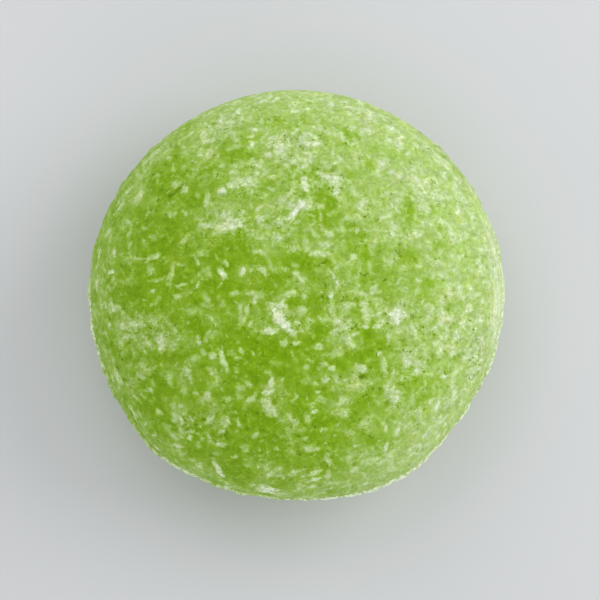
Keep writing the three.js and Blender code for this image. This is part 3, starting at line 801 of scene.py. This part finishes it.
# Noises of the skin: size in millimetres, detail, roughness.
COARSE, FINE = (0.55, 2.0, 0.6), (0.2, 1.0)
PATCHES, CLUMPS = (2.0, 3.0, 0.6), (1.2, 1.0)
STIR, STIR_REACH = (0.9, 2.0), 0.9
CLOUD, HOLLOWS = (3.2, 3.0, 0.6), (0.8, 2.0, 0.6)
WARMTH, SHADES = (2.6, 2.0), (1.1, 2.0)
STREAKS = (1.0, 3.0, 0.6)  # in units of a streak's length and width
STREAK_LENGTH, STREAK_WIDTH = 5, 0.6
# Fine bright thread-like lines, partly painted highlights along tiny ridges of the skin:
WISPS_AND_GLINTS = [(2.6, 0.02), (1.6, 0.025)]  # how far apart the threads lie, and how thick they are
WISP_NOISE = (2.0, 0.55)
# Soft steps: low and high value, and what they give at each: 0 and 1 if not said.
CLOUD_STEP = (0.27, 0.97, 0.0, 0.50)
BLOOM_STEP, BLOOM_PATCHES = (0.35, 0.75, 0.0, 0.4), (0.38, 0.62, 0.35, 1.0)
THREAD_AND_GLINT_STEP, POWDER_STEP = (0.3, 0.7, 0.1, 0.4), (0.42, 0.72)
DRY_STEP, RING_STEP = (0.32, 0.66, 0.68, 0.95), (0.35, 0.6, 0.7, 1.2)
HOLLOW_STEP, WARM_STEP = (0.27, 0.40, 1.0, 0.0), (0.5, 0.7)
BUSY_STEP, EDGE_STEP = (0.46, 0.70), (0.03, 0.75)
# Straight lines: gain and base.
POWDER_LINE, HOLLOW_LINE = (0.06, 0.02), (0.85, 0.15)
CLUMP_GRIT, CLUMP_LINE = (0.25, -0.625), (0.7, 0.25)
SHADE_LINE, SPECK_LINE = (0.30, 0.84), (0.15, 0.42)
EDGE_FINE, ROUGHNESS = (0.15, -0.4), (0.25, 0.5)
# Painted shade in crevices and pits:
SHADOW = (-0.36, 1.0)  # what a crevice leaves of the colour
# Single gains.
CRUMB_GAIN, EDGE_COARSE, CHALK_GRIT, BUMP_SHARE = 0.9, 0.65, 0.5, 0.5
# Painted shade in crevices and pits also takes whiteness:
DARK_WHITE = -0.5  # what a crevice takes from the whiteness
FROST_SHADE, COARSE_SHADE = -0.22, 0.36
WARM_RED, WARM_BLUE = 0.04, -0.07
BUMP_STRENGTH, BUMP_DISTANCE = 0.35, 0.00015  # the distance is in metres
SOAP_SPECULAR = 0.13


def fleck_layer(n, position, normal, fray, fleck, seed):
    """Soft rod-shaped flecks that lie in the skin, one to a cell at most: a mask from 0 to its opacity."""
    cell, length, width, share, opacity = fleck
    scaled = n.vector("SCALE", n.shift(position, FLECK_APART, seed), scale=1 / cell)
    inputs = {"Vector": scaled, "Scale": 1.0}
    cells = n.add("ShaderNodeTexVoronoi", inputs, feature="F1", voronoi_dimensions="3D")
    lucky = n.add("ShaderNodeTexWhiteNoise", {"Vector": cells.outputs["Position"]}, noise_dimensions="3D")
    luck = n.add("ShaderNodeSeparateColor", {"Color": lucky.outputs["Color"]})
    heading = n.vector("NORMALIZE", n.flatten(n.centred_colour(cells.outputs["Color"]), normal))
    local = n.flatten(n.vector("SUBTRACT", scaled, cells.outputs["Position"]), normal)
    along_it = n.vector("DOT_PRODUCT", local, heading)
    half = (length - width) / 2 / cell
    clamped = n.math("MINIMUM", n.math("MAXIMUM", along_it, -half), half)
    offset = n.vector("SUBTRACT", local, n.vector("SCALE", heading, scale=clamped))
    distance = n.math("MULTIPLY_ADD", n.vector("LENGTH", offset), cell, n.math("MULTIPLY", fray, width))
    outer = n.line(luck.outputs["Green"], width * FLECK_EDGE[0], width * FLECK_EDGE[1])
    mask = n.ramp(distance, 0.0, outer, 1.0, 0.0)
    here = n.math("LESS_THAN", luck.outputs["Red"], share)
    strength = n.math("MULTIPLY", luck.outputs["Blue"], opacity)
    return n.math("MULTIPLY", n.math("MULTIPLY", mask, here), strength)


def over(n, below, mask):
    """Adds a mask to what lies below it without passing 1: 1 - (1 - below) * (1 - mask)."""
    clear = n.math("MULTIPLY", n.math("SUBTRACT", 1.0, below), n.math("SUBTRACT", 1.0, mask))
    return n.math("SUBTRACT", 1.0, clear)


def wisps_and_glints(n, position, size, thickness, seed):
    """Thin curling thread-like lines, about size apart, where a noise crosses its middle, partly painted
    highlights along tiny ridges: a mask from 0 to 1.
    """
    swirl = n.noise(n.shift(position, WISP_APART, seed), size, *WISP_NOISE)
    off = n.math("ABSOLUTE", n.centred(swirl))
    return n.ramp(off, 0.0, thickness, 1.0, 0.0)


def skin_whiteness(n, position, normal, coarse, fine, frost_and_sheen, patches, busy):
    """How white the skin is away from its grains: cloud with the frost layer's painted sheen, flecks,
    thread-like lines partly painted as highlights on tiny ridges, and powder.
    """
    stir = n.centred_colour(n.noise(position, *STIR, output="Color"))
    stirred = n.vector("ADD", position, n.vector("SCALE", stir, scale=STIR_REACH))
    fray = n.centred(coarse)
    cloud = n.math("ADD", n.noise(position, *CLOUD), frost_and_sheen)
    bloom = n.math("MULTIPLY", n.ramp(frost_and_sheen, *BLOOM_STEP), n.ramp(patches, *BLOOM_PATCHES))
    white = over(n, n.ramp(cloud, *CLOUD_STEP), bloom)
    for seed, fleck in enumerate(FLECKS, 1):
        white = over(n, white, fleck_layer(n, stirred, normal, fray, fleck, seed))
    # Thread-like lines, partly painted highlights on tiny ridges, most in the crumbly patches.
    threads_and_glints = n.math("MAXIMUM", *(wisps_and_glints(n, stirred, *kind, seed) for seed, kind in enumerate(WISPS_AND_GLINTS, 1)))
    threads_and_glints = n.math("MULTIPLY", n.math("MULTIPLY", threads_and_glints, busy), n.ramp(fine, *THREAD_AND_GLINT_STEP))
    white = over(n, white, threads_and_glints)
    powder = n.math("MULTIPLY", n.ramp(coarse, *POWDER_STEP), n.line(busy, *POWDER_LINE))
    clumps = n.noise(n.shift(position, CLUMP_SHIFT), *CLUMPS)
    clumps = n.math("ADD", clumps, n.line(coarse, *CLUMP_GRIT))
    clumps = n.math("MULTIPLY", clumps, n.line(busy, *CLUMP_LINE))
    return n.math("ADD", over(n, white, powder), clumps)


def edge_whiteness(n, position, coarse):
    """How white the seam ring and the dried-out, streaky edge on the right are; that edge is partly painted
    sheen.
    """
    place = n.add("ShaderNodeSeparateXYZ", {"Vector": position})
    angle = n.math("ARCTAN2", place.outputs["Y"], place.outputs["X"])
    round_it = n.math("MULTIPLY", angle, WIDTH / 2 / STREAK_LENGTH)
    up_it = n.math("MULTIPLY", place.outputs["Z"], 1 / STREAK_WIDTH)
    streak = n.add("ShaderNodeCombineXYZ", {"X": round_it, "Y": up_it})
    streaks = n.noise(streak.outputs["Vector"], *STREAKS)
    # The right edge's whiteness: dried-out streaks and painted sheen.
    dry_and_sheen = n.math("MULTIPLY", n.layer("dry_and_sheen"), n.ramp(streaks, *DRY_STEP))
    ring = n.math("MULTIPLY", n.layer("ring"), n.ramp(coarse, *RING_STEP))
    return n.math("MAXIMUM", dry_and_sheen, ring)


def crevice_shade(n, position, busy):
    """Painted shade in small hollows and short cracks between the grains, most of them in the crumbly
    patches: from 0 to 1.
    """
    hollow = n.ramp(n.noise(n.shift(position, HOLLOW_SHIFT), *HOLLOWS), *HOLLOW_STEP)
    return n.math("MULTIPLY", hollow, n.line(busy, *HOLLOW_LINE))


def skin_tint(n, position, coarse, fine, frost_and_sheen, busy):
    """Small differences in brightness and warmth that the whiteness doesn't make."""
    warm = n.ramp(n.noise(position, *WARMTH), *WARM_STEP)
    bright = n.line(n.noise(position, *SHADES), *SHADE_LINE)
    bright = n.line(frost_and_sheen, FROST_SHADE, bright)
    bright = n.line(n.centred(coarse), COARSE_SHADE, bright)
    bright = n.math("ADD", bright, n.math("MULTIPLY", n.centred(fine), n.line(busy, *SPECK_LINE)))
    red, blue = n.line(warm, WARM_RED, bright), n.line(warm, WARM_BLUE, bright)
    return n.add("ShaderNodeCombineXYZ", {"X": red, "Y": bright, "Z": blue}).outputs["Vector"]


def soap_material(name):
    """Pressed soap: green, full of white flecks and powder. On grains the core layer turns it white."""
    material = bpy.data.materials.new(name)
    n = fresh_nodes(material)
    coordinates = n.add("ShaderNodeTexCoord")
    position = n.vector("SCALE", coordinates.outputs["Object"], scale=1 / MM)
    coarse = n.noise(position, *COARSE)
    fine = n.noise(position, *FINE)
    # The frost layer also carries the painted sheen towards the lit rim.
    frost_and_sheen = n.layer("frost_and_sheen")
    patches = n.noise(n.shift(position, PATCH_SHIFT), *PATCHES)
    busy = n.ramp(n.line(n.layer("crumbs"), CRUMB_GAIN, patches), *BUSY_STEP)

    white = skin_whiteness(n, position, coordinates.outputs["Normal"], coarse, fine, frost_and_sheen, patches, busy)
    white = n.math("MAXIMUM", white, edge_whiteness(n, position, coarse))
    # Painted shade in crevices, pits and the crease: it takes whiteness and darkens the colour where no grain
    # covers it.
    painted_shade = n.math("MAXIMUM", crevice_shade(n, position, busy), n.layer("pit"))
    white = n.line(painted_shade, DARK_WHITE, white)

    rough_edge = n.line(coarse, EDGE_COARSE, n.line(fine, *EDGE_FINE))
    solid = n.ramp(n.math("ADD", n.layer("core"), rough_edge), *EDGE_STEP)
    solid = n.math("MULTIPLY", solid, n.layer("veil"))
    chalk = n.line(n.centred(coarse), CHALK_GRIT, n.layer("tone"))
    covered = n.add("ShaderNodeMix", {"Factor": solid, "A": white, "B": chalk}, data_type="FLOAT")
    white = covered.outputs["Result"]

    colours = n.colours(white, [(share, linear(*shade)) for share, shade in SKIN_COLOURS])
    colour = n.vector("MULTIPLY", colours, skin_tint(n, position, coarse, fine, frost_and_sheen, busy))
    # The painted shade darkens the bare skin.
    bare_shade = n.math("MULTIPLY", painted_shade, n.math("SUBTRACT", 1.0, solid))
    colour = n.vector("SCALE", colour, scale=n.line(bare_shade, *SHADOW))

    height = n.math("ADD", n.math("MULTIPLY", white, BUMP_SHARE), n.math("MULTIPLY", coarse, BUMP_SHARE))
    bump = n.add("ShaderNodeBump", {"Height": height, "Strength": BUMP_STRENGTH, "Distance": BUMP_DISTANCE})
    shader = n.add("ShaderNodeBsdfPrincipled", {
        "Base Color": colour, "Roughness": n.line(white, *ROUGHNESS), "Normal": bump.outputs["Normal"]})
    shader.inputs["Specular IOR Level"].default_value = SOAP_SPECULAR
    n.add("ShaderNodeOutputMaterial", {"Surface": shader.outputs["BSDF"]})
    return material


# The table top: size and detail of its clouding, screen colours, and half its width in metres.
FLOOR_CLOUD = (60.0, 2.0)
FLOOR_COLOURS = [(0.0, (205, 206, 208)), (1.0, (211, 212, 214))]
FLOOR_ROUGHNESS = 0.8
FLOOR_HALF = 1.2


def floor_material():
    """Pale grey paper-smooth table top."""
    material = bpy.data.materials.new("pale_table")
    n = fresh_nodes(material)
    position = n.vector("SCALE", n.add("ShaderNodeTexCoord").outputs["Object"], scale=1 / MM)
    cloud = n.noise(position, *FLOOR_CLOUD)
    colours = n.colours(cloud, [(share, linear(*shade)) for share, shade in FLOOR_COLOURS])
    shader = n.add("ShaderNodeBsdfPrincipled", {"Base Color": colours, "Roughness": FLOOR_ROUGHNESS})
    n.add("ShaderNodeOutputMaterial", {"Surface": shader.outputs["BSDF"]})
    return material


# ---------------- studio
def build_floor():
    mesh = bpy.data.meshes.new("table_top")
    corners = [(FLOOR_HALF * x, FLOOR_HALF * y, 0) for x, y in ((-1, -1), (1, -1), (1, 1), (-1, 1))]
    mesh.from_pydata(corners, [], [(0, 1, 2, 3)])
    table_top = bpy.data.objects.new("table_top", mesh)
    table_top.data.materials.append(floor_material())
    bpy.context.scene.collection.objects.link(table_top)


# Soft lights: azimuth and elevation in degrees, power in watts. Distance and size are in metres.
SOFTBOXES = {"key": (22, 22, 5.7), "top": (112, 38, 1.75), "fill": (292, 22, 0.9)}
LIGHT_DISTANCE = 0.9
LIGHT_SIZE = 0.9


def softbox(name, azimuth, elevation, power):
    """A round soft light, aimed at the puck from an azimuth and elevation in degrees."""
    azimuth, elevation = math.radians(azimuth), math.radians(elevation)
    flat = math.cos(elevation)
    place = Vector((flat * math.cos(azimuth), flat * math.sin(azimuth), math.sin(elevation))) * LIGHT_DISTANCE
    light = bpy.data.lights.new(name, "AREA")
    light.shape = "DISK"
    light.size = LIGHT_SIZE
    light.energy = power
    lamp = bpy.data.objects.new(name, light)
    lamp.location = place
    lamp.rotation_euler = (-place).to_track_quat("-Z", "Y").to_euler()
    bpy.context.scene.collection.objects.link(lamp)


# Brightness of the studio's walls and ceiling: sine of the elevation, strength.
SKY = [(0.0, 1.40), (0.30, 1.25), (0.42, 0.70), (0.80, 0.72), (1.0, 0.35)]
SKY_COLOUR = (0.985, 1.0, 1.01)


def build_world():
    """Pale walls, brightest near the floor and dimmest right above, where the camera hangs."""
    world = bpy.data.worlds.new("studio")
    n = fresh_nodes(world)
    direction = n.add("ShaderNodeSeparateXYZ", {"Vector": n.add("ShaderNodeTexCoord").outputs["Generated"]})
    stops = [(height, [share * strength for share in SKY_COLOUR] + [1.0]) for height, strength in SKY]
    walls = n.colours(direction.outputs["Z"], stops)
    background = n.add("ShaderNodeBackground", {"Color": walls, "Strength": 1.0})
    n.add("ShaderNodeOutputWorld", {"Surface": background.outputs["Background"]})
    bpy.context.scene.world = world


CAMERA_ELEVATION = 85.5  # degrees
CAMERA_DISTANCE = 0.3117  # metres
CAMERA_AIM = (0.6, -0.87, SEAM_HEIGHT)
CAMERA_LENS = 120
CAMERA_SENSOR = 36
CAMERA_CLIP = 0.01  # metres


def build_camera():
    """Looks almost straight down on the puck."""
    elevation = math.radians(CAMERA_ELEVATION)
    camera = bpy.data.cameras.new("camera")
    camera.lens = CAMERA_LENS
    camera.sensor_width = CAMERA_SENSOR
    camera.clip_start = CAMERA_CLIP
    eye = bpy.data.objects.new("camera", camera)
    back = Vector((0, -math.cos(elevation), math.sin(elevation)))
    eye.location = Vector(CAMERA_AIM) * MM + back * CAMERA_DISTANCE
    eye.rotation_euler = (-back).to_track_quat("-Z", "Y").to_euler()
    bpy.context.scene.collection.objects.link(eye)
    bpy.context.scene.camera = eye
    bpy.context.scene.view_settings.view_transform = "Standard"


# ---------------- everything together
# How white and how covering the large grains that stand out most are, by their number on the crown.
GRAIN_LOOKS = {
    1: (0.95, 1.0), 2: (0.85, 0.95), 3: (0.95, 1.0), 4: (0.8, 0.85), 5: (0.75, 0.7), 6: (0.8, 0.7),
    12: (0.8, 0.8), 14: (0.85, 0.8), 19: (0.9, 0.95), 20: (0.8, 0.9), 21: (0.85, 0.9), 23: (0.85, 0.85),
    24: (0.85, 0.85), 25: (0.85, 0.9), 30: (0.92, 0.95), 33: (0.75, 0.8), 34: (0.92, 0.9), 35: (0.85, 0.8),
    36: (0.82, 0.75), 37: (0.87, 0.95), 38: (0.95, 1.0), 39: (0.9, 0.92), 40: (0.9, 0.85), 44: (0.8, 0.85),
}


def build_large_grains(material, draws):
    """A large grain for each CAD grain. Those that stand out have looks of their own."""
    for number, name in enumerate(sorted(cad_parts), 1):
        if name == "soap_body":
            continue
        tone, veil = draws.uniform(*LARGE_TONES), draws.uniform(*LARGE_VEILS)
        if name.startswith("crown"):
            tone, veil = GRAIN_LOOKS.get(number, (tone, veil))
        build_grain(name, float(number), material, tone, veil)


soap = soap_material("pressed_soap")
grain_white = soap_material("white_grain")
build_body(soap)
scatter = random.Random(SCATTER_SEED)
build_large_grains(grain_white, scatter)
seen_grains = [(crown_point(x, y), *rest) for x, y, *rest in SMALL_GRAINS]
build_small_grains("small_crown_grains", seen_grains, grain_white)
build_small_grains("small_rim_grains", side_grains(RIM_COUNT, True, scatter), grain_white)
build_small_grains("small_lower_grains", side_grains(LOWER_COUNT, False, scatter), grain_white)
build_floor()
build_world()
for light_name, settings in SOFTBOXES.items():
    softbox(light_name, *settings)
build_camera()
